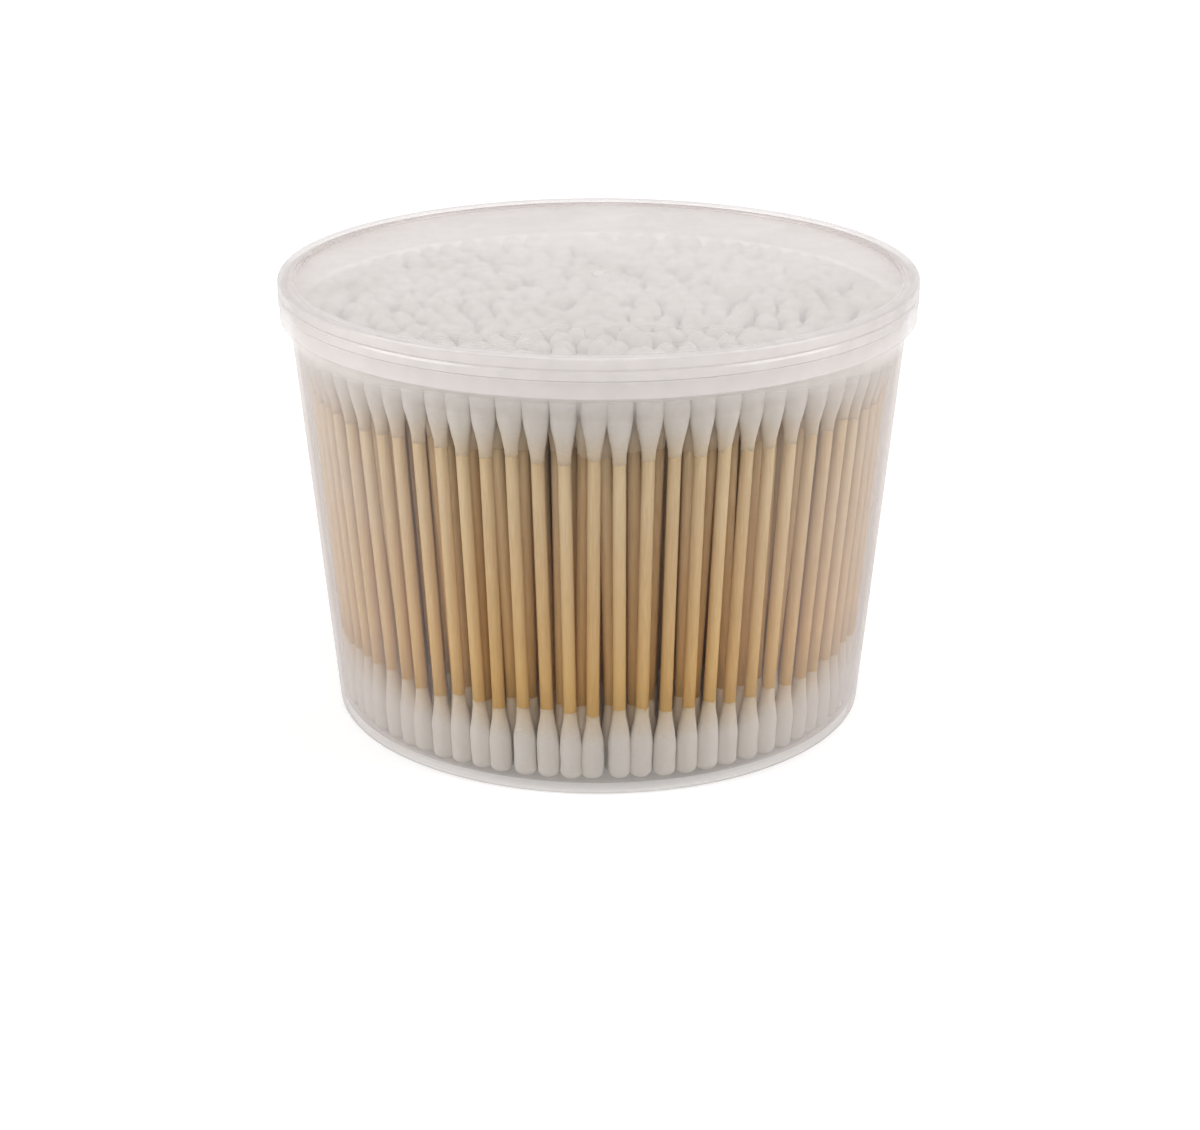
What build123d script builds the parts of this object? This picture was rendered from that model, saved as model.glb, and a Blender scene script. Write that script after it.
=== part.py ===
from build123d import *
import math
import os

# Cotton swab tub: a clear tapered tub full of upright swabs, under a clear press-on lid.
# Millimetres, +Z up, origin at the middle of the underside.

# Swabs
swab_length = 79.0
cotton_length = 14.3
stick_diameter = 2.3
head_diameter = 4.6  # upper cotton at its widest
crown_diameter = 2.6  # flat left on top of an upper tip
neck_diameter = 2.9  # cotton where it starts on the stick
belly_share = 0.55  # where an upper tip is widest, from its neck upwards
dome_depth = 2.0  # how far the hollows between packed tips lie below their tops
tip_gap = 0.05  # least space between neighbouring tips
pattern_turn = -1.0  # degrees, so that a swab stands just left of the middle in front

# Tub
rim_radius = 60.5  # wall's outer radius at the rim
wall_thickness = 0.7
draft_angle = 5.1
floor_thickness = 1.0
foot_height = 1.2
foot_width = 2.5
foot_chamfer = 0.8
lip_width = 0.6  # how far the rim bead stands out from the wall
lip_height = 3.0

# Lid
head_room = 4.4  # from the swabs to the panel
panel_thickness = 0.8
panel_recess = 1.0  # panel below the raised rim
lid_rim_thickness = 0.8
skirt_thickness = 0.7
skirt_height = 7.5
plug_thickness = 0.7
groove_drop = 2.4  # groove's middle below the lid's top
groove_depth = 0.3
groove_width = 0.8
lid_chamfer = 0.4
gate_diameter = 2.4  # mark left by moulding, in the middle of the panel
gate_height = 0.2

# Fits
wall_clearance = 0.15  # between the tips and the wall
skirt_clearance = 0.2  # between the lid's skirt and the rim bead
plug_clearance = 0.2  # between the lid's plug wall and the tub

# Sides of the sections that repeat
outer_sides = 5
inner_sides = 3

# Rows of sticks from the wall inwards, as far as they show between each other
row_names = ("outer_sticks", "second_row_sticks", "third_row_sticks")

# Heights
floor_top = foot_height + floor_thickness
lower_neck = floor_top + cotton_length
swab_top = floor_top + swab_length
upper_neck = swab_top - cotton_length
belly_height = upper_neck + belly_share * cotton_length
panel_underside = swab_top + head_room
lid_top = panel_underside + panel_thickness + panel_recess
tub_height = lid_top - lid_rim_thickness


def wall_outer(height):
    """Outer radius of the tapered wall at a height."""
    return rim_radius - (tub_height - height) * math.tan(math.radians(draft_angle))


def wall_inner(height):
    """Inner radius of the tapered wall at a height."""
    return wall_outer(height) - wall_thickness


# Swabs stand in rings of 6, 12, 18 and so on about one in the middle, and spread upwards with the wall.
belly_row_radius = wall_inner(belly_height) - wall_clearance - head_diameter / 2
ring_count = int(belly_row_radius / (head_diameter + tip_gap))
floor_room = wall_inner(floor_top) - wall_clearance + tip_gap / 2
floor_row_radius = floor_room / (1 + 1 / (2 * ring_count))
foot_diameter = min(head_diameter, floor_row_radius / ring_count - tip_gap)


def row_radius(height):
    """Radius of the outermost ring of swabs at a height."""
    share = (height - floor_top) / (belly_height - floor_top)
    return floor_row_radius + share * (belly_row_radius - floor_row_radius)


def swab_angle(ring, place):
    """Angle of a swab about the tub's axis, in radians."""
    turn = math.radians(pattern_turn)
    return turn + 2 * math.pi * place / (6 * ring) if ring else turn


def swab_point(ring, place, height):
    """Middle of a swab at a height."""
    radius = row_radius(height) * ring / ring_count
    angle = swab_angle(ring, place)
    return Vector(radius * math.cos(angle), radius * math.sin(angle), height)


def ring_places(ring):
    """Numbers of the swabs in a ring."""
    return range(max(1, 6 * ring))


def section_turn(ring, place, sides):
    """Angle in radians that puts a flat of a swab's section towards the tub's axis."""
    return swab_angle(ring, place) + math.pi / sides


def section_rim(ring, place, height, diameter, sides):
    """Corners of a swab's level section."""
    middle = swab_point(ring, place, height)
    turn = section_turn(ring, place, sides)
    angles = [turn + 2 * math.pi * corner / sides for corner in range(sides)]
    return [middle + Vector(math.cos(angle), math.sin(angle)) * (diameter / 2) for angle in angles]


def end_face(rim):
    """A flat end of a stack of sections."""
    return Face(Polyline(*rim, close=True))


def side_faces(rims):
    """Flat faces between each section of a stack and the next."""
    return [
        Face(Polyline(low[i - 1], low[i], high[i], high[i - 1], close=True))
        for low, high in zip(rims, rims[1:])
        for i in range(len(low))
    ]


def make_stack(rims):
    """A closed solid through a stack of sections with like sides, lowest first."""
    return Solid(Shell(side_faces(rims) + [end_face(rims[0]), end_face(rims[-1])]))


def make_stick(ring, place, sides):
    """A stick between the faces of its two tips."""
    foot = swab_point(ring, place, lower_neck)
    lean = swab_point(ring, place, upper_neck) - foot
    turn = math.degrees(section_turn(ring, place, sides))
    profile = Pos(foot) * RegularPolygon(stick_diameter / 2, sides, rotation=turn)
    return extrude(profile, amount=lean.length, dir=lean).solid()


def make_row(depth):
    """The sticks of one row, counted from the wall inwards."""
    ring = ring_count - depth
    return [make_stick(ring, place, inner_sides if depth else outer_sides) for place in ring_places(ring)]


def bundle_rim(ring, height, reach):
    """Corners round a bundle of swabs, some way out from the middles of its last ring."""
    radius = row_radius(height) * ring / ring_count + reach
    angles = [swab_angle(ring, place) for place in ring_places(ring)]
    return [Vector(radius * math.cos(angle), radius * math.sin(angle), height) for angle in angles]


def make_core():
    """The sticks inside the last row that shows, joined in one bundle."""
    ring = ring_count - len(row_names)
    return make_stack([bundle_rim(ring, height, stick_diameter / 2) for height in (lower_neck, upper_neck)])


def make_tip(place, stations):
    """An outer row's tip through its widths at some heights."""
    return make_stack([section_rim(ring_count, place, *station, outer_sides) for station in stations])


def make_upper_tip(place):
    """An upper tip, which swells from its neck and narrows again to its crown."""
    return make_tip(
        place,
        (
            (upper_neck, neck_diameter),
            (belly_height, head_diameter),
            (swab_top, crown_diameter),
        ),
    )


def make_lower_tip(place):
    """A lower tip, pressed flat where it stands on the floor."""
    return make_tip(place, ((floor_top, foot_diameter), (lower_neck, neck_diameter)))


def hollow_point(corners, height):
    """The point midway between three neighbouring swabs at a height."""
    (ax, ay, _), (bx, by, _), (cx, cy, _) = (tuple(swab_point(*corner, height)) for corner in corners)
    double_area = 2 * (ax * (by - cy) + bx * (cy - ay) + cx * (ay - by))
    a_square = ax**2 + ay**2
    b_square = bx**2 + by**2
    c_square = cx**2 + cy**2
    x = (a_square * (by - cy) + b_square * (cy - ay) + c_square * (ay - by)) / double_area
    y = (a_square * (cx - bx) + b_square * (ax - cx) + c_square * (bx - ax)) / double_area
    return Vector(x, y, height)


def neighbours(ring, place):
    """The six swabs around one, in order anticlockwise from straight outwards."""
    if ring == 0:
        return [(1, step) for step in range(6)]
    side, along = divmod(place, ring)
    outward = place + side
    inward = place - side
    before = (ring, (place - 1) % (6 * ring))
    after = (ring, (place + 1) % (6 * ring))
    outer = [(ring + 1, step % (6 * ring + 6)) for step in (outward - 1, outward, outward + 1)]
    inner = [(ring - 1, step % max(1, 6 * ring - 6)) for step in (inward, inward - 1)]
    if along == 0:
        return [outer[1], outer[2], after, inner[0], before, outer[0]]
    return [outer[1], outer[2], after, inner[0], inner[1], before]


def pad_corners():
    """Triples of swabs whose midway points run round the inner swabs, in order."""
    last = ring_count - 1
    corners = []
    for place in ring_places(last):
        side, along = divmod(place, last)
        first_step = place + side
        steps = (first_step - 1, first_step, first_step + 1) if along == 0 else (first_step, first_step + 1)
        outer = [(ring_count, step % (6 * ring_count)) for step in steps]
        corners += [((last, place), one, other) for one, other in zip(outer, outer[1:])]
        corners.append(((last, place), outer[-1], (last, (place + 1) % (6 * last))))
    return corners


def pad_rim(height):
    """Corners of the outline of the inner swabs' packed tips at a height."""
    return [hollow_point(corner, height) for corner in pad_corners()]


def make_dome(ring, place):
    """The faces of one packed tip's top."""
    top = swab_point(ring, place, swab_top)
    around = neighbours(ring, place)
    pairs = zip(around, around[1:] + around[:1])
    hollow = swab_top - dome_depth
    rim = [hollow_point(((ring, place), one, other), hollow) for one, other in pairs]
    return [Face(Polyline(top, rim[i - 1], rim[i], close=True)) for i in range(len(rim))]


def make_inner_upper_tips():
    """The inner swabs' upper tips, pressed into one pad with a dome for each."""
    rims = [pad_rim(upper_neck), pad_rim(swab_top - dome_depth)]
    faces = side_faces(rims) + [end_face(rims[0])]
    for ring in range(ring_count):
        for place in ring_places(ring):
            faces += make_dome(ring, place)
    return Solid(Shell(faces))


def make_inner_lower_tips():
    """The inner swabs' lower tips, pressed into one pad that stands on the floor."""
    last = ring_count - 1
    return make_stack([bundle_rim(last, height, foot_diameter / 2) for height in (floor_top, lower_neck)])


def make_tub():
    """Foot ring, floor, tapered wall and rim bead, in one moulding."""
    foot_radius = wall_outer(0)
    lip_radius = rim_radius + lip_width
    lip_base = tub_height - lip_height
    profile = Polyline(
        (0, 0, foot_height),
        (foot_radius - foot_width, 0, foot_height),
        (foot_radius - foot_width, 0, 0),
        (foot_radius - foot_chamfer, 0, 0),
        (wall_outer(foot_chamfer), 0, foot_chamfer),
        (wall_outer(lip_base), 0, lip_base),
        (lip_radius, 0, lip_base),
        (lip_radius, 0, tub_height),
        (wall_inner(tub_height), 0, tub_height),
        (wall_inner(floor_top), 0, floor_top),
        (0, 0, floor_top),
        close=True,
    )
    return revolve(Face(profile), Axis.Z)


def make_lid():
    """Recessed panel, raised rim, plug wall and grooved skirt, in one moulding."""
    skirt_inner = rim_radius + lip_width + skirt_clearance
    lid_radius = skirt_inner + skirt_thickness
    plug_outer = wall_inner(panel_underside) - plug_clearance
    plug_inner = plug_outer - plug_thickness
    panel_top = panel_underside + panel_thickness
    groove_middle = lid_top - groove_drop
    profile = Polyline(
        (0, 0, panel_underside),
        (plug_outer, 0, panel_underside),
        (plug_outer, 0, tub_height),
        (skirt_inner, 0, tub_height),
        (skirt_inner, 0, lid_top - skirt_height),
        (lid_radius, 0, lid_top - skirt_height),
        (lid_radius, 0, groove_middle - groove_width / 2),
        (lid_radius - groove_depth, 0, groove_middle),
        (lid_radius, 0, groove_middle + groove_width / 2),
        (lid_radius, 0, lid_top - lid_chamfer),
        (lid_radius - lid_chamfer, 0, lid_top),
        (plug_inner, 0, lid_top),
        (plug_inner, 0, panel_top),
        (0, 0, panel_top),
        close=True,
    )
    gate = Pos(0, 0, panel_top + gate_height / 2) * Cylinder(gate_diameter / 2, gate_height)
    return revolve(Face(profile), Axis.Z) + gate


def make_parts():
    """Every node's solids, by name."""
    parts = {
        "tub": make_tub(),
        "lid": make_lid(),
        "inner_upper_tips": make_inner_upper_tips(),
        "inner_lower_tips": make_inner_lower_tips(),
        "core_sticks": make_core(),
        "outer_upper_tips": [make_upper_tip(place) for place in ring_places(ring_count)],
        "outer_lower_tips": [make_lower_tip(place) for place in ring_places(ring_count)],
    }
    for depth, name in enumerate(row_names):
        parts[name] = make_row(depth)
    return parts


def main():
    os.makedirs("parts", exist_ok=True)
    for name, shape in make_parts().items():
        part = Compound(children=shape) if isinstance(shape, list) else shape
        part.label = name
        export_step(part, f"parts/{name}.step")


main()
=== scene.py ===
import math
import random

import bmesh
import bpy
import numpy
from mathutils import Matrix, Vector, noise


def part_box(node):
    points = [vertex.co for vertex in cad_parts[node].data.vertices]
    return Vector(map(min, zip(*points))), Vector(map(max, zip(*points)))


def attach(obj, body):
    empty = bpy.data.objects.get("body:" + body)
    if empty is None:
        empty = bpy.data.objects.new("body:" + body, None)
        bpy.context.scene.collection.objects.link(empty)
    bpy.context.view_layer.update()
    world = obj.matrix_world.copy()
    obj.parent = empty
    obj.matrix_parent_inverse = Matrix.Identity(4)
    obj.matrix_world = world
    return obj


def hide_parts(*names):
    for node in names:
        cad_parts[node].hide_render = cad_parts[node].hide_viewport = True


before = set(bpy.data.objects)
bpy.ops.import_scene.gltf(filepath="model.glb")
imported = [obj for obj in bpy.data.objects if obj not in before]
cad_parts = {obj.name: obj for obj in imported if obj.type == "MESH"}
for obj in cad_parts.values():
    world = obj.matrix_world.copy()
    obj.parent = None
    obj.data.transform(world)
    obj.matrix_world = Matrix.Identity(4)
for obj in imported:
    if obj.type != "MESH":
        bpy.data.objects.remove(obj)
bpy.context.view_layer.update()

MM = 0.001

# Sizes read from the solids, in metres
TUB_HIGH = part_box("tub")[1]
LID_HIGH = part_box("lid")[1]
PAD_LOW, PAD_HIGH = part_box("inner_upper_tips")
FLOOR_LOW, FLOOR_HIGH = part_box("inner_lower_tips")
LID_TOP = LID_HIGH.z
LID_RADIUS = LID_HIGH.x
TUB_HEIGHT = TUB_HIGH.z
SWAB_TOP = PAD_HIGH.z
UPPER_NECK = PAD_LOW.z
FLOOR_TOP = FLOOR_LOW.z
LOWER_NECK = FLOOR_HIGH.z
COTTON_LENGTH = SWAB_TOP - UPPER_NECK

# Sizes of the tub and the lid, as in the solids but for the step in the skirt
WALL_THICKNESS = 0.7 * MM
RIM_RADIUS = 60.5 * MM
WALL_SLOPE = math.tan(math.radians(5.1))
FOOT_HEIGHT = 1.2 * MM
FOOT_WIDTH = 2.5 * MM
LIP_RADIUS = RIM_RADIUS + 0.6 * MM
LIP_HEIGHT = 3.0 * MM
SKIRT_HEIGHT = 7.5 * MM
SKIRT_THICKNESS = 0.7 * MM
PANEL_RECESS = 1.0 * MM
PANEL_THICKNESS = 0.8 * MM
PLUG_THICKNESS = 0.7 * MM
PLUG_CLEARANCE = 0.2 * MM
GROOVE_DROP = 2.4 * MM
GROOVE_DEPTH = 0.3 * MM
GROOVE_WIDTH = 0.8 * MM
STEP_DROP = 4.1 * MM
STEP_DEPTH = 0.2 * MM
GATE_RADIUS = 1.2 * MM
GATE_HEIGHT = 0.2 * MM

# Roundings of their corners
FOOT_ROUND = 0.4 * MM
BASE_ROUND = 1.0 * MM
LIP_ROUND = 0.2 * MM
TUB_RIM_ROUND = 0.25 * MM
FLOOR_ROUND = 0.1 * MM
PLUG_ROUND = 0.25 * MM
SKIRT_ROUND = 0.2 * MM
SKIRT_EDGE_ROUND = 0.15 * MM
STEP_ROUND = 0.08 * MM
GROOVE_ROUND = 0.12 * MM
GROOVE_BASE_ROUND = 0.1 * MM
LID_EDGE_ROUND = 0.5 * MM
LID_RIM_ROUND = 0.35 * MM
PANEL_ROUND = 0.3 * MM
GATE_ROUND = 0.08 * MM
AROUND = 256
ROUND_STEPS = 6
LONG_EDGE = 4  # an edge this many times a rounding's reach keeps its flat shading
SUPPORT = 0.12 * MM  # up to this near the rounding

# Sizes of the swabs
STICK_RADIUS = 1.15 * MM
HEAD_RADIUS = 2.3 * MM
WALL_CLEARANCE = 0.15 * MM
TIP_GAP = 0.05 * MM
BELLY_SHARE = 0.55
TAPER_SHARE = 0.62
UPPER_END_SHARE = 0.81
LOWER_END_SHARE = 0.9
NECK_GROWTH = 1.06  # the cotton's neck, against the stick
RING_COUNT = 12
RING_GROWTH = 6  # more swabs in each ring than in the ring inside it
PATTERN_TURN = math.radians(-1.0)
STICK_RUN_IN = 2.0 * MM
ROW_CROWDING = 1.6  # rows of points lie closer towards a tip's end

# How uneven the swabs are; the rows inside get lower tones and tan cotton further up, as painted shade
SEED = 11
OUTER_SPREAD = {
    "foot": 0.5 * MM,
    "head": 0.45 * MM,
    "drop": 0.4 * MM,
    "width": (1.03, 1.07),
    "tone_and_painted_shade": (0.6, 1.0),
    "cover_and_painted_shade": 1.0,
}
INNER_SPREAD = {
    "foot": 1.3 * MM,
    "head": 1.1 * MM,
    "drop": 2.0 * MM,
    "width": (0.96, 1.06),
    # lower tones than in the outer row: painted shade of the rows inside
    "tone_and_painted_shade": (0.25, 0.9),
    # less cover: the cotton's tan neck colour reaches further up, painted warm shade
    "cover_and_painted_shade": 0.6,
}
UPPER_NECK_SPREAD = (-0.9 * MM, 0.4 * MM)
LOWER_NECK_SPREAD = (-0.9 * MM, 0.6 * MM)
WALL_RETREAT = 0.12 * MM
RING_NOISE_STEP = 7.3
PLACE_NOISE_STEP = 3.1
LUMP_SCALE = 420
LUMP_DEPTH = 0.06
STICK_WIDTH_BASE = 0.78
STICK_WIDTH_GROWTH = 0.25
FLAT_SCALE = 1.3
FLAT_DEPTH = 0.06

# Plastic: milk and film seen from the front and edge on, haze over a range of slants, and gloss
ADDED_COLOUR = (0.955, 0.91, 0.893)
CLEAR_LOOK = {
    "colour": (0.63, 0.56, 0.55),
    "edge_colour": ADDED_COLOUR,
    "film": (0.957, 0.947, 0.937),
    "edge_film": (0.957, 0.947, 0.937),
    "slants": (0.2, 0.95),
    "hazes": (0.003, 0.42),
    "gloss": 0.006,
}
HAZY_LOOK = {
    "colour": (0.93, 0.885, 0.875),
    # darker milk seen edge on: painted shade on the lid's skirt
    "edge_colour": (0.62, 0.585, 0.58),
    "film": (0.96, 0.952, 0.949),
    "edge_film": (0.82, 0.81, 0.81),
    "slants": (0.705, 0.795),
    "hazes": (0.2, 0.5),
    "gloss": 0.035,
}
HAZE_UNEVENNESS = (0.85, 1.15)
# slants over which the added haze's milk turns to the edge colour; in the lid a painted shade
EDGE_COLOUR_SLANTS = (0.4, 1.0)
EDGE_FILM_SLANTS = (0.82, 1.0)
FULL_TINT_HAZE = 0.2
GRAZING_GLOSS = 0.12
GLOSS_POWER = 5.0
SKIRT_HAZE = 0.22
SKIRT_HAZE_START = LID_RADIUS - 2.2 * MM
SKIRT_HAZE_FULL = LID_RADIUS - 1.8 * MM
LOW_SKIRT_SHARE = 0.5
STEP_FADE = 0.5 * MM
GATE_HAZE = 0.4
GATE_FADE = 0.1 * MM
WALL_HAZE = 0.33
WALL_HAZE_REACH = 5.0 * MM
TUB_RIM_SHARE = 0.4

# Cotton and bamboo
NOISE_RANGE = (0.3, 0.7)
SHADE_SHARE = 0.35
FIBRE_STRETCH = 2.6
COTTON_DARK = (0.3, (0.75, 0.71, 0.662))
COTTON_PALE = (0.95, (0.85, 0.825, 0.79))
COTTON_NECK = (0.77, 0.63, 0.44)
NECK_RAGGEDNESS = (-0.1, 0.1)
NECK_RANGE = (-0.02, 0.45)
GRAIN_STRETCH = 0.015
GRAIN_RANGE = (0.42, 0.58)
BAMBOO_DARK = (0.28, (0.48, 0.26, 0.075))
BAMBOO_PALE = (0.85, (0.87, 0.69, 0.435))
# painted warm bounce light and shade, multiplied into the sticks towards the bottom
BAMBOO_PAINTED_BOUNCE = (0.97, 0.79, 0.44)
PAINTED_BOUNCE_TOP = 0.2 * LOWER_NECK + 0.8 * UPPER_NECK

# Floor, light and camera
SKY_LIGHT = 0.27
FLOOR_REACH = 6.0
FLOOR_COLOUR = (0.82, 0.82, 0.82)
FLOOR_GLOW = 0.4
GLOW_FADE = (0.15, 0.9)
LAMPS = [
    # name, place, size, watts
    ("left", (-0.8, -0.2, 0.55), 0.6, 4.9),
    ("right", (0.8, -0.2, 0.55), 0.6, 4.5),
    ("front", (0.0, -0.9, 0.5), 0.5, 2.0),
    ("top", (0.1, 0.25, 0.9), 0.7, 2.0),
]
CAMERA_DISTANCE = 0.5
CAMERA_RISE = math.radians(14.33)
CAMERA_PITCH = math.radians(20.93)
CAMERA_SHIFT = 0.26 * MM
CAMERA_LENS = 76.8
CAMERA_SENSOR = 36.0
CAMERA_NEAR = 0.01
CLEAR_LAYERS = 24  # surfaces of clear plastic that a ray may pass


def wall_outer(height):
    """Outer radius of the tub's wall at a height."""
    return RIM_RADIUS - (TUB_HEIGHT - height) * WALL_SLOPE


def wall_inner(height):
    """Inner radius of the tub's wall at a height."""
    return wall_outer(height) - WALL_THICKNESS


PLUG_INNER = wall_inner(LID_TOP - PANEL_RECESS - PANEL_THICKNESS) - PLUG_CLEARANCE - PLUG_THICKNESS
BELLY_HEIGHT = UPPER_NECK + BELLY_SHARE * COTTON_LENGTH
BELLY_ROW = wall_inner(BELLY_HEIGHT) - WALL_CLEARANCE - HEAD_RADIUS
FLOOR_ROW = (wall_inner(FLOOR_TOP) - WALL_CLEARANCE + TIP_GAP / 2) / (1 + 1 / (2 * RING_COUNT))
FOOT_RADIUS = (FLOOR_ROW / RING_COUNT - TIP_GAP) / 2


def row_radius(height):
    """Radius of the outermost ring of swabs at a height."""
    share = (height - FLOOR_TOP) / (BELLY_HEIGHT - FLOOR_TOP)
    return FLOOR_ROW + share * (BELLY_ROW - FLOOR_ROW)


def swab_point(ring, place, height):
    """Middle of a swab at a height."""
    radius = row_radius(height) * ring / RING_COUNT
    angle = PATTERN_TURN + (2 * math.pi * place / (RING_GROWTH * ring) if ring else 0.0)
    return Vector((radius * math.cos(angle), radius * math.sin(angle), height))


# Meshes
def make_object(name, points, faces, material):
    """A smooth-shaded mesh object with one material."""
    mesh = bpy.data.meshes.new(name)
    mesh.from_pydata([tuple(point) for point in points], [], faces)
    mesh.shade_smooth()
    mesh.materials.append(material)
    made = bpy.data.objects.new(name, mesh)
    bpy.context.scene.collection.objects.link(made)
    return made


def store_values(made, name, values):
    """Keeps a value with each point of a mesh."""
    kept = made.data.attributes.new(name, "FLOAT", "POINT")
    kept.data.foreach_set("value", numpy.array(values, dtype=numpy.float32))


def rounded_profile(corners):
    """Points (radius, height) of an outline whose corners (radius, height, rounding) are turned into arcs."""
    points = []
    for index, (r, z, rounding) in enumerate(corners):
        here = Vector((r, z))
        if rounding == 0 or index in (0, len(corners) - 1):
            points.append(here)
            continue
        before = Vector(corners[index - 1][:2]) - here
        after = Vector(corners[index + 1][:2]) - here
        half = before.angle(after) / 2
        reach = rounding / math.tan(half)
        start = here + before.normalized() * reach
        end = here + after.normalized() * reach
        middle = here + (before.normalized() + after.normalized()).normalized() * (rounding / math.sin(half))
        sweep = math.pi - 2 * half
        first = start - middle
        turn = 1 if first.x * (end - middle).y - first.y * (end - middle).x > 0 else -1
        if before.length > LONG_EDGE * reach:
            points.append(start + before.normalized() * SUPPORT)
        for step in range(ROUND_STEPS + 1):
            angle = turn * sweep * step / ROUND_STEPS
            spun_x = first.x * math.cos(angle) - first.y * math.sin(angle)
            spun_y = first.x * math.sin(angle) + first.y * math.cos(angle)
            points.append(middle + Vector((spun_x, spun_y)))
        if after.length > LONG_EDGE * reach:
            points.append(end + after.normalized() * SUPPORT)
    return points


def make_lathe(name, corners, material):
    """A turned piece whose outline starts and ends on the axis."""
    profile = rounded_profile(corners)
    rings = profile[1:-1]
    points = [(0, 0, profile[0].y)]
    for r, z in rings:
        for step in range(AROUND):
            angle = 2 * math.pi * step / AROUND
            points.append((r * math.cos(angle), r * math.sin(angle), z))
    points.append((0, 0, profile[-1].y))
    last = len(points) - 1
    faces = []
    for step in range(AROUND):
        beside = (step + 1) % AROUND
        faces.append((0, 1 + step, 1 + beside))
        for ring in range(len(rings) - 1):
            low = 1 + ring * AROUND
            high = low + AROUND
            faces.append((low + step, high + step, high + beside, low + beside))
        end = 1 + (len(rings) - 1) * AROUND
        faces.append((end + step, last, end + beside))
    made = make_object(name, points, faces, material)
    shell = bmesh.new()
    shell.from_mesh(made.data)
    bmesh.ops.recalc_face_normals(shell, faces=shell.faces)
    shell.to_mesh(made.data)
    shell.free()
    return made


def make_tub(material):
    """Foot ring, floor, tapered wall and rim bead."""
    foot = wall_outer(0)
    lip_base = TUB_HEIGHT - LIP_HEIGHT
    corners = [
        (0, FOOT_HEIGHT, 0),
        (foot - FOOT_WIDTH, FOOT_HEIGHT, FOOT_ROUND),
        (foot - FOOT_WIDTH, 0, FOOT_ROUND),
        (foot, 0, BASE_ROUND),
        (wall_outer(lip_base), lip_base, LIP_ROUND),
        (LIP_RADIUS, lip_base, LIP_ROUND),
        (LIP_RADIUS, TUB_HEIGHT, TUB_RIM_ROUND),
        (wall_inner(TUB_HEIGHT), TUB_HEIGHT, TUB_RIM_ROUND),
        (wall_inner(FLOOR_TOP), FLOOR_TOP, FLOOR_ROUND),
        (0, FLOOR_TOP, 0),
    ]
    return make_lathe("tub_shell", corners, material)


def make_lid(material):
    """Recessed panel, raised rim, plug wall and skirt with a groove and a step."""
    skirt_inner = LID_RADIUS - SKIRT_THICKNESS
    skirt_low = LID_TOP - SKIRT_HEIGHT
    panel_top = LID_TOP - PANEL_RECESS
    panel_low = panel_top - PANEL_THICKNESS
    plug_outer = PLUG_INNER + PLUG_THICKNESS
    groove = LID_TOP - GROOVE_DROP
    step = LID_TOP - STEP_DROP
    low_radius = LID_RADIUS - STEP_DEPTH
    corners = [
        (0, panel_low, 0),
        (plug_outer, panel_low, PLUG_ROUND),
        (plug_outer, TUB_HEIGHT, SKIRT_ROUND),
        (skirt_inner, TUB_HEIGHT, SKIRT_ROUND),
        (skirt_inner, skirt_low, SKIRT_ROUND),
        (low_radius, skirt_low, SKIRT_EDGE_ROUND),
        (low_radius, step - STEP_DEPTH, STEP_ROUND),
        (LID_RADIUS, step, STEP_ROUND),
        (LID_RADIUS, groove - GROOVE_WIDTH / 2, GROOVE_ROUND),
        (LID_RADIUS - GROOVE_DEPTH, groove, GROOVE_BASE_ROUND),
        (LID_RADIUS, groove + GROOVE_WIDTH / 2, GROOVE_ROUND),
        (LID_RADIUS, LID_TOP, LID_EDGE_ROUND),
        (PLUG_INNER, LID_TOP, LID_RIM_ROUND),
        (PLUG_INNER, panel_top, PANEL_ROUND),
        (GATE_RADIUS, panel_top, GATE_ROUND),
        (GATE_RADIUS, panel_top + GATE_HEIGHT, GATE_ROUND),
        (0, panel_top + GATE_HEIGHT, 0),
    ]
    return make_lathe("lid_shell", corners, material)


class Swab:
    """One swab's line, tone and small departures from the pattern; in the rows inside its tone and its
    cotton's cover are lowered as painted shade.
    """

    def __init__(self, ring, place, chance):
        spread = OUTER_SPREAD if ring == RING_COUNT else INNER_SPREAD
        self.foot = swab_point(ring, place, FLOOR_TOP) + self.stray(ring, place, spread["foot"], chance)
        self.head = swab_point(ring, place, SWAB_TOP) + self.stray(ring, place, spread["head"], chance)
        self.drop = chance.uniform(0.0, 1.0) ** 2 * spread["drop"]
        self.width = chance.uniform(*spread["width"])
        self.upper_neck = UPPER_NECK + chance.uniform(*UPPER_NECK_SPREAD)
        self.lower_neck = LOWER_NECK + chance.uniform(*LOWER_NECK_SPREAD)
        self.tone_and_painted_shade = chance.uniform(*spread["tone_and_painted_shade"])
        self.cover_and_painted_shade = spread["cover_and_painted_shade"]
        self.spin = chance.uniform(0, 2 * math.pi)
        self.seed = Vector((ring * RING_NOISE_STEP, place * PLACE_NOISE_STEP, 0))

    def stray(self, ring, place, reach, chance):
        """A step aside, never towards the wall in the outer ring."""
        out = swab_point(ring, place, SWAB_TOP).to_2d()
        out = out.normalized() if ring else Vector((1, 0))
        across = Vector((-out.y, out.x)) * chance.uniform(-reach, reach)
        inwards = out * chance.uniform(-reach, -WALL_RETREAT if ring == RING_COUNT else reach)
        return (across + inwards).to_3d()

    def point(self, height):
        """Middle of the swab at a height."""
        return self.foot.lerp(self.head, (height - FLOOR_TOP) / (SWAB_TOP - FLOOR_TOP))

    def directions(self, sides):
        """Level directions out of the swab, all around it."""
        angles = [self.spin + 2 * math.pi * step / sides for step in range(sides)]
        return [Vector((math.cos(angle), math.sin(angle), 0)) for angle in angles]


def tip_radius(share, widest, taper_share, end_share):
    """Radius of a cotton tip along its length, from its neck at 0 to its end at 1."""
    neck = STICK_RADIUS * NECK_GROWTH
    if share < taper_share:
        rise = share / taper_share
        return neck + (widest - neck) * (3 * rise**2 - 2 * rise**3)
    if share < end_share:
        return widest
    fall = (share - end_share) / (1 - end_share)
    return widest * math.sqrt(max(0.0, 1 - fall**2))


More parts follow.
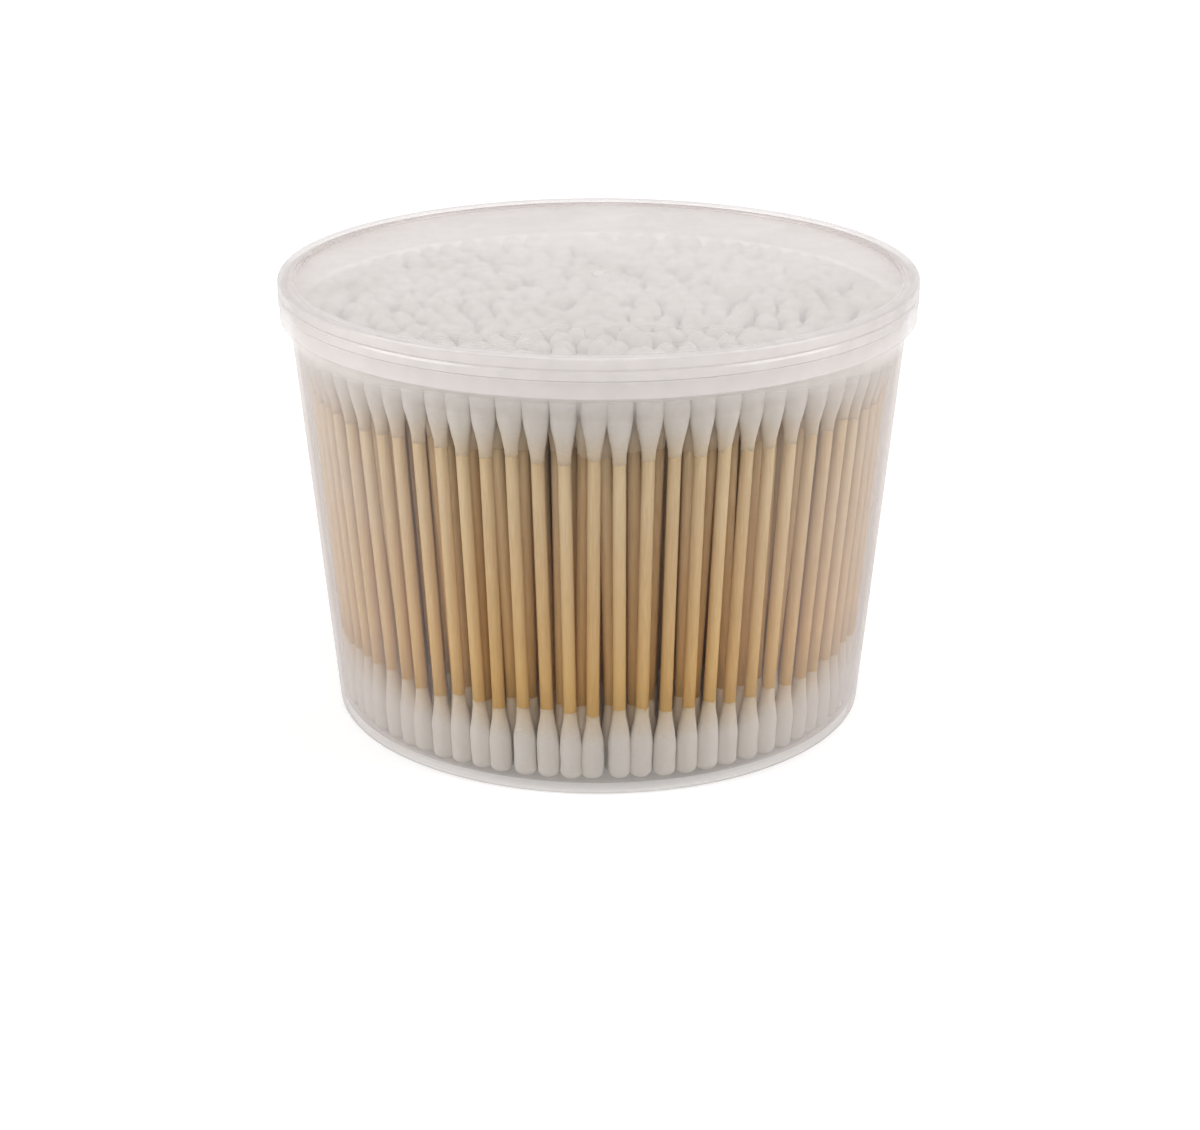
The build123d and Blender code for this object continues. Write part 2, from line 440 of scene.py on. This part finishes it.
def tube_faces(base, sides, rows, upwards):
    """Faces of a closed tube: its rows of points from a first one on, then its two end points."""
    first_end = base + rows * sides
    last_row = base + (rows - 1) * sides
    faces = []
    for step in range(sides):
        beside = (step + 1) % sides
        faces.append((base + beside, base + step, first_end))
        for row in range(rows - 1):
            low = base + row * sides
            high = low + sides
            faces.append((low + step, low + beside, high + beside, high + step))
        faces.append((last_row + step, last_row + beside, first_end + 1))
    return faces if upwards else [face[::-1] for face in faces]


def make_tips(name, swabs, material, upper, sides, rows):
    """Cotton tips of many swabs in one mesh, each a little different."""
    points = []
    faces = []
    tones_and_painted_shades = []
    grown_and_painted_shade = []
    shares = [1 - (1 - row / rows) ** ROW_CROWDING for row in range(rows)]
    for swab in swabs:
        neck = swab.point(swab.upper_neck if upper else swab.lower_neck)
        end = swab.point(SWAB_TOP - swab.drop if upper else FLOOR_TOP)
        widest = (HEAD_RADIUS if upper else FOOT_RADIUS) * swab.width
        taper_share, end_share = (TAPER_SHARE, UPPER_END_SHARE) if upper else (BELLY_SHARE, LOWER_END_SHARE)
        base = len(points)
        for share in shares:
            middle = neck.lerp(end, share)
            radius = tip_radius(share, widest, taper_share, end_share)
            for out in swab.directions(sides):
                lump = noise.noise((middle + out * HEAD_RADIUS) * LUMP_SCALE + swab.seed)
                points.append(middle + out * (radius * (1 + LUMP_DEPTH * lump)))
        points += [neck, end]
        # each swab's tone and its cotton's reach from the neck, both lower in the rows inside as painted
        # shade
        tones_and_painted_shades += [swab.tone_and_painted_shade] * (len(points) - base)
        grown_and_painted_shade += [share * swab.cover_and_painted_shade for share in shares for _ in range(sides)] + [0.0, swab.cover_and_painted_shade]
        faces += tube_faces(base, sides, rows, upper)
    made = make_object(name, points, faces, material)
    store_values(made, "tone_and_painted_shade", tones_and_painted_shades)
    store_values(made, "grown_and_painted_shade", grown_and_painted_shade)
    return made


def make_sticks(name, swabs, material, sides, rows):
    """Sticks of many swabs in one mesh, each with its own tone, lower in the rows inside as painted shade."""
    points = []
    faces = []
    tones_and_painted_shades = []
    for swab in swabs:
        low_end = swab.point(swab.lower_neck - STICK_RUN_IN)
        high_end = swab.point(swab.upper_neck + STICK_RUN_IN)
        width = STICK_RADIUS * (STICK_WIDTH_BASE + STICK_WIDTH_GROWTH * swab.width)
        base = len(points)
        for row in range(rows):
            middle = low_end.lerp(high_end, row / (rows - 1))
            for out in swab.directions(sides):
                flat = noise.noise(out * FLAT_SCALE + swab.seed)
                points.append(middle + out * width * (1 + FLAT_DEPTH * flat))
        points += [low_end, high_end]
        tones_and_painted_shades += [swab.tone_and_painted_shade] * (len(points) - base)
        faces += tube_faces(base, sides, rows, True)
    made = make_object(name, points, faces, material)
    store_values(made, "tone_and_painted_shade", tones_and_painted_shades)
    return made


# Shader nodes
def new_material(name):
    """A material with an empty node tree and an output."""
    material = bpy.data.materials.new(name)
    material.use_nodes = True
    tree = material.node_tree
    tree.nodes.clear()
    output = tree.nodes.new("ShaderNodeOutputMaterial")
    return material, tree, output


def add_node(tree, kind, **values):
    """A node with some of its inputs set."""
    node = tree.nodes.new(kind)
    for key, value in values.items():
        node.inputs[key.replace("_", " ")].default_value = value
    return node


def map_range(tree, value, low, high, to_low, to_high):
    """A value carried from one range to another."""
    ends = {"From_Min": low, "From_Max": high, "To_Min": to_low, "To_Max": to_high}
    node = add_node(tree, "ShaderNodeMapRange", **ends)
    tree.links.new(value, node.inputs["Value"])
    return node.outputs["Result"]


def combine(tree, operation, first, second):
    """The sum, product or other mix of two values."""
    node = tree.nodes.new("ShaderNodeMath")
    node.operation = operation
    tree.links.new(first, node.inputs[0])
    tree.links.new(second, node.inputs[1])
    return node.outputs["Value"]


def blend_colours(tree, factor, first, second, kind="MIX"):
    """A colour that goes from one to another with a factor, each a colour or a node's output."""
    node = tree.nodes.new("ShaderNodeMix")
    node.data_type = "RGBA"
    node.blend_type = kind
    for key, colour in (("A", first), ("B", second)):
        if isinstance(colour, tuple):
            node.inputs[key].default_value = (*colour, 1)
        else:
            tree.links.new(colour, node.inputs[key])
    tree.links.new(factor, node.inputs["Factor"])
    return node.outputs["Result"]


def blend_shaders(tree, factor, first, second):
    """A surface that goes from one shader to another with a factor."""
    node = tree.nodes.new("ShaderNodeMixShader")
    tree.links.new(factor, node.inputs["Fac"])
    tree.links.new(first, node.inputs[1])
    tree.links.new(second, node.inputs[2])
    return node.outputs["Shader"]


def object_place(tree):
    """The place of a point in its object."""
    return tree.nodes.new("ShaderNodeTexCoord").outputs["Object"]


def stretched(tree, place, scale):
    """A place scaled along each axis."""
    node = add_node(tree, "ShaderNodeMapping", Scale=scale)
    tree.links.new(place, node.inputs["Vector"])
    return node.outputs["Vector"]


def height_of(tree, place):
    """The height of a place."""
    node = tree.nodes.new("ShaderNodeSeparateXYZ")
    tree.links.new(place, node.inputs["Vector"])
    return node.outputs["Z"]


def length_of(tree, place):
    """The distance of a place from the middle."""
    node = tree.nodes.new("ShaderNodeVectorMath")
    node.operation = "LENGTH"
    tree.links.new(place, node.inputs[0])
    return node.outputs["Value"]


def add_noise(tree, place, **values):
    """A noise texture over a place."""
    node = add_node(tree, "ShaderNodeTexNoise", **values)
    tree.links.new(place, node.inputs["Vector"])
    return node.outputs["Fac"]


def add_bump(tree, height, strength, distance):
    """A normal that follows a texture."""
    node = add_node(tree, "ShaderNodeBump", Strength=strength, Distance=distance)
    tree.links.new(height, node.inputs["Height"])
    return node.outputs["Normal"]


def kept_value(tree, name):
    """A value kept with the points of a mesh."""
    node = tree.nodes.new("ShaderNodeAttribute")
    node.attribute_name = name
    return node.outputs["Fac"]


def shaded_ramp(tree, texture, dark, pale):
    """A colour between two, each (position, colour), from a texture and the swab's own tone, which is lowered
    in the rows inside as painted shade.
    """
    mixed = tree.nodes.new("ShaderNodeMath")
    mixed.operation = "MULTIPLY_ADD"
    mixed.inputs[1].default_value = SHADE_SHARE
    tree.links.new(kept_value(tree, "tone_and_painted_shade"), mixed.inputs[0])
    tree.links.new(texture, mixed.inputs[2])
    ramp = tree.nodes.new("ShaderNodeValToRGB")
    for element, (position, colour) in zip(ramp.color_ramp.elements, (dark, pale)):
        element.position = position
        element.color = (*colour, 1)
    tree.links.new(mixed.outputs["Value"], ramp.inputs["Fac"])
    return ramp.outputs["Color"]


# Materials
def lid_skirt_haze(tree, place):
    """More haze in the lid's rim and skirt and in the gate mark at its middle."""
    out = length_of(tree, stretched(tree, place, (1, 1, 0)))
    skirt = map_range(tree, out, SKIRT_HAZE_START, SKIRT_HAZE_FULL, 0.0, SKIRT_HAZE)
    step = LID_TOP - STEP_DROP
    band = map_range(tree, height_of(tree, place), step - STEP_FADE, step, LOW_SKIRT_SHARE, 1.0)
    gate = map_range(tree, out, GATE_RADIUS, GATE_RADIUS + GATE_FADE, GATE_HAZE, 0.0)
    return combine(tree, "ADD", combine(tree, "MULTIPLY", skirt, band), gate)


def tub_top_haze(tree, place):
    """More haze at the top of the tub's wall, under the lid's skirt."""
    height = height_of(tree, place)
    skirt = LID_TOP - SKIRT_HEIGHT
    below = map_range(tree, height, skirt - WALL_HAZE_REACH, skirt, 0.0, WALL_HAZE)
    above = map_range(tree, height, skirt, TUB_HEIGHT, 1.0, TUB_RIM_SHARE)
    return combine(tree, "MULTIPLY", below, above)


def make_plastic(name, added_haze, colour, edge_colour, film, edge_film, slants, hazes, gloss):
    """Thin clear plastic with a soft gloss, milkier seen edge on and where haze is added; where haze is
    added, its milk turns to the edge colour seen edge on, which in the lid is painted shade.
    """
    material, tree, output = new_material(name)
    link = tree.links.new
    place = object_place(tree)
    cloud = add_noise(tree, place, Scale=60.0, Detail=3.0, Roughness=0.55)
    facing = add_node(tree, "ShaderNodeLayerWeight", Blend=0.5).outputs["Facing"]
    normal = add_bump(tree, cloud, 0.05, 0.2 * MM)

    clear = tree.nodes.new("ShaderNodeBsdfTransparent")
    film_slant = map_range(tree, facing, *EDGE_FILM_SLANTS, 0.0, 1.0)
    link(blend_colours(tree, film_slant, film, edge_film), clear.inputs["Color"])

    added = added_haze(tree, place)
    # painted shade: seen edge on, the added haze's milk turns to the edge colour, darker in the lid
    colour_slant = map_range(tree, facing, *EDGE_COLOUR_SLANTS, 0.0, 1.0)
    added_colour = blend_colours(tree, colour_slant, ADDED_COLOUR, edge_colour)
    tint = blend_colours(tree, map_range(tree, added, 0.0, FULL_TINT_HAZE, 0.0, 1.0), colour, added_colour)
    milk = add_node(tree, "ShaderNodeBsdfPrincipled", Roughness=0.4)
    link(tint, milk.inputs["Base Color"])
    link(normal, milk.inputs["Normal"])

    haze = combine(tree, "ADD", map_range(tree, facing, *slants, *hazes), added)
    uneven = map_range(tree, cloud, *NOISE_RANGE, *HAZE_UNEVENNESS)
    share = combine(tree, "MULTIPLY", haze, uneven)
    body = blend_shaders(tree, share, clear.outputs["BSDF"], milk.outputs["BSDF"])

    shine = add_node(tree, "ShaderNodeBsdfGlossy", Color=(1, 1, 1, 1), Roughness=0.12)
    link(normal, shine.inputs["Normal"])
    steep = tree.nodes.new("ShaderNodeMath")
    steep.operation = "POWER"
    steep.inputs[1].default_value = GLOSS_POWER
    link(facing, steep.inputs[0])
    glint = map_range(tree, steep.outputs["Value"], 0.0, 1.0, gloss, GRAZING_GLOSS)
    link(blend_shaders(tree, glint, body, shine.outputs["BSDF"]), output.inputs["Surface"])
    return material


def make_cotton():
    """White cotton with fine wound fibres, thin at its neck; in the rows inside it is darker and tan further
    up, as painted shade.
    """
    material, tree, output = new_material("cotton")
    link = tree.links.new
    lie = stretched(tree, object_place(tree), (1.0, 1.0, FIBRE_STRETCH))
    fibres = add_noise(tree, lie, Scale=1500.0, Detail=5.0, Roughness=0.65, Distortion=0.6)
    white = shaded_ramp(tree, fibres, COTTON_DARK, COTTON_PALE)
    ragged = map_range(tree, fibres, *NOISE_RANGE, *NECK_RAGGEDNESS)
    # the tan neck reaches further up in the rows inside: painted warm shade
    grown_and_painted_shade = combine(tree, "ADD", kept_value(tree, "grown_and_painted_shade"), ragged)
    cover_and_painted_shade = map_range(tree, grown_and_painted_shade, *NECK_RANGE, 0.0, 1.0)
    cloth = add_node(tree, "ShaderNodeBsdfPrincipled", Roughness=0.95, Sheen_Weight=0.25, Sheen_Roughness=0.6)
    cloth.inputs["Specular IOR Level"].default_value = 0.2
    link(blend_colours(tree, cover_and_painted_shade, COTTON_NECK, white), cloth.inputs["Base Color"])
    link(add_bump(tree, fibres, 0.45, 0.12 * MM), cloth.inputs["Normal"])
    link(cloth.outputs["BSDF"], output.inputs["Surface"])
    return material


def make_bamboo():
    """Pale bamboo with lengthwise grain, each stick with its own tone, darker in the rows inside as painted
    shade, and painted warm bounce light and shade towards the bottom.
    """
    material, tree, output = new_material("bamboo")
    link = tree.links.new
    place = object_place(tree)
    lie = stretched(tree, place, (1.0, 1.0, GRAIN_STRETCH))
    grain = add_noise(tree, lie, Scale=2600.0, Detail=4.0, Roughness=0.6)
    streaks = map_range(tree, grain, *NOISE_RANGE, *GRAIN_RANGE)
    pale = shaded_ramp(tree, streaks, BAMBOO_DARK, BAMBOO_PALE)
    # painted warm bounce light and shade, strongest at the lower neck and fading out higher up
    painted_bounce = map_range(tree, height_of(tree, place), LOWER_NECK, PAINTED_BOUNCE_TOP, 1.0, 0.0)
    wood = add_node(tree, "ShaderNodeBsdfPrincipled", Roughness=0.6)
    link(blend_colours(tree, painted_bounce, pale, BAMBOO_PAINTED_BOUNCE, "MULTIPLY"), wood.inputs["Base Color"])
    link(add_bump(tree, grain, 0.3, 0.05 * MM), wood.inputs["Normal"])
    link(wood.outputs["BSDF"], output.inputs["Surface"])
    return material


# Object
def build_object():
    """Every shown piece, each on the body that carries it."""
    chance = random.Random(SEED)
    clear = make_plastic("clear_plastic", tub_top_haze, **CLEAR_LOOK)
    hazy = make_plastic("hazy_plastic", lid_skirt_haze, **HAZY_LOOK)
    cotton = make_cotton()
    bamboo = make_bamboo()
    counts = [1] + [RING_GROWTH * ring for ring in range(1, RING_COUNT + 1)]
    rings = [[Swab(ring, place, chance) for place in range(count)] for ring, count in enumerate(counts)]
    outer = rings[RING_COUNT]
    inner = [swab for ring in rings[:RING_COUNT] for swab in ring]
    core = [swab for ring in rings[: RING_COUNT - 2] for swab in ring]
    tub = make_tub(clear)
    lid = make_lid(hazy)
    outer_upper = make_tips("cotton_outer_upper", outer, cotton, upper=True, sides=24, rows=20)
    outer_lower = make_tips("cotton_outer_lower", outer, cotton, upper=False, sides=24, rows=16)
    inner_upper = make_tips("cotton_inner_upper", inner, cotton, upper=True, sides=16, rows=14)
    inner_lower = make_tips("cotton_inner_lower", inner, cotton, upper=False, sides=14, rows=10)
    outer_sticks = make_sticks("bamboo_outer", outer, bamboo, sides=20, rows=6)
    second_sticks = make_sticks("bamboo_second", rings[-2], bamboo, sides=16, rows=6)
    third_sticks = make_sticks("bamboo_third", rings[-3], bamboo, sides=16, rows=6)
    core_sticks = make_sticks("bamboo_core", core, bamboo, sides=10, rows=4)
    pieces = [
        (tub, "tub", "clear_plastic", "tub"),
        (lid, "lid", "hazy_plastic", "lid"),
        (outer_upper, "tub", "cotton", "outer_upper_tips"),
        (outer_lower, "tub", "cotton", "outer_lower_tips"),
        (inner_upper, "tub", "cotton", "inner_upper_tips"),
        (inner_lower, "tub", "cotton", "inner_lower_tips"),
        (outer_sticks, "tub", "bamboo", "outer_sticks"),
        (second_sticks, "tub", "bamboo", "second_row_sticks"),
        (third_sticks, "tub", "bamboo", "third_row_sticks"),
        (core_sticks, "tub", "bamboo", "core_sticks"),
    ]
    for piece, body, slot, node in pieces:
        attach(piece, body)
        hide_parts(node)


# Scene
def seen_rays(tree):
    """One for rays that show the background: from the camera, off gloss and through glass."""
    path = tree.nodes.new("ShaderNodeLightPath")
    seen = path.outputs["Is Camera Ray"]
    for kind in ("Is Glossy Ray", "Is Transmission Ray"):
        seen = combine(tree, "MAXIMUM", seen, path.outputs[kind])
    return seen


def make_floor():
    """A plain white floor that keeps the object's shadow."""
    material, tree, output = new_material("floor")
    link = tree.links.new
    dull = add_node(tree, "ShaderNodeBsdfDiffuse", Color=(*FLOOR_COLOUR, 1))
    glow = add_node(tree, "ShaderNodeEmission", Color=(1, 1, 1, 1))
    away = length_of(tree, object_place(tree))
    pale = map_range(tree, away, *GLOW_FADE, FLOOR_GLOW, 1.0)
    link(combine(tree, "MULTIPLY", seen_rays(tree), pale), glow.inputs["Strength"])
    both = tree.nodes.new("ShaderNodeAddShader")
    link(dull.outputs["BSDF"], both.inputs[0])
    link(glow.outputs["Emission"], both.inputs[1])
    link(both.outputs["Shader"], output.inputs["Surface"])
    corners = [(FLOOR_REACH * x, FLOOR_REACH * y, 0) for x, y in ((-1, -1), (1, -1), (1, 1), (-1, 1))]
    floor = make_object("floor", corners, [(0, 1, 2, 3)], material)


def make_lamp(name, place, target, size, power):
    """A soft square lamp that faces a point."""
    data = bpy.data.lights.new(name, "AREA")
    data.size = size
    data.energy = power
    lamp = bpy.data.objects.new(name, data)
    lamp.location = place
    lamp.rotation_euler = (Vector(target) - Vector(place)).to_track_quat("-Z", "Y").to_euler()
    bpy.context.scene.collection.objects.link(lamp)


def light_scene():
    """Even studio light: a pale sky, white where it is seen, and four soft lamps."""
    world = bpy.data.worlds.new("studio")
    world.use_nodes = True
    tree = world.node_tree
    sky = tree.nodes["Background"]
    sky.inputs["Color"].default_value = (1, 1, 1, 1)
    tree.links.new(map_range(tree, seen_rays(tree), 0.0, 1.0, SKY_LIGHT, 1.0), sky.inputs["Strength"])
    bpy.context.scene.world = world
    middle = (0, 0, TUB_HEIGHT / 2)
    for name, place, size, power in LAMPS:
        make_lamp(name, place, middle, size, power)


def make_camera():
    """A camera at the photograph's viewing angle."""
    data = bpy.data.cameras.new("camera")
    data.sensor_width = CAMERA_SENSOR
    data.lens = CAMERA_LENS
    data.clip_start = CAMERA_NEAR
    camera = bpy.data.objects.new("camera", data)
    back = CAMERA_DISTANCE * math.cos(CAMERA_RISE)
    up = CAMERA_DISTANCE * math.sin(CAMERA_RISE)
    camera.location = (CAMERA_SHIFT, -back, LID_TOP + up)
    camera.rotation_euler = (math.pi / 2 - CAMERA_PITCH, 0, 0)
    bpy.context.scene.collection.objects.link(camera)
    bpy.context.scene.camera = camera


build_object()
make_floor()
light_scene()
make_camera()
bpy.context.scene.view_settings.view_transform = "Standard"
bpy.context.scene.cycles.transparent_max_bounces = CLEAR_LAYERS
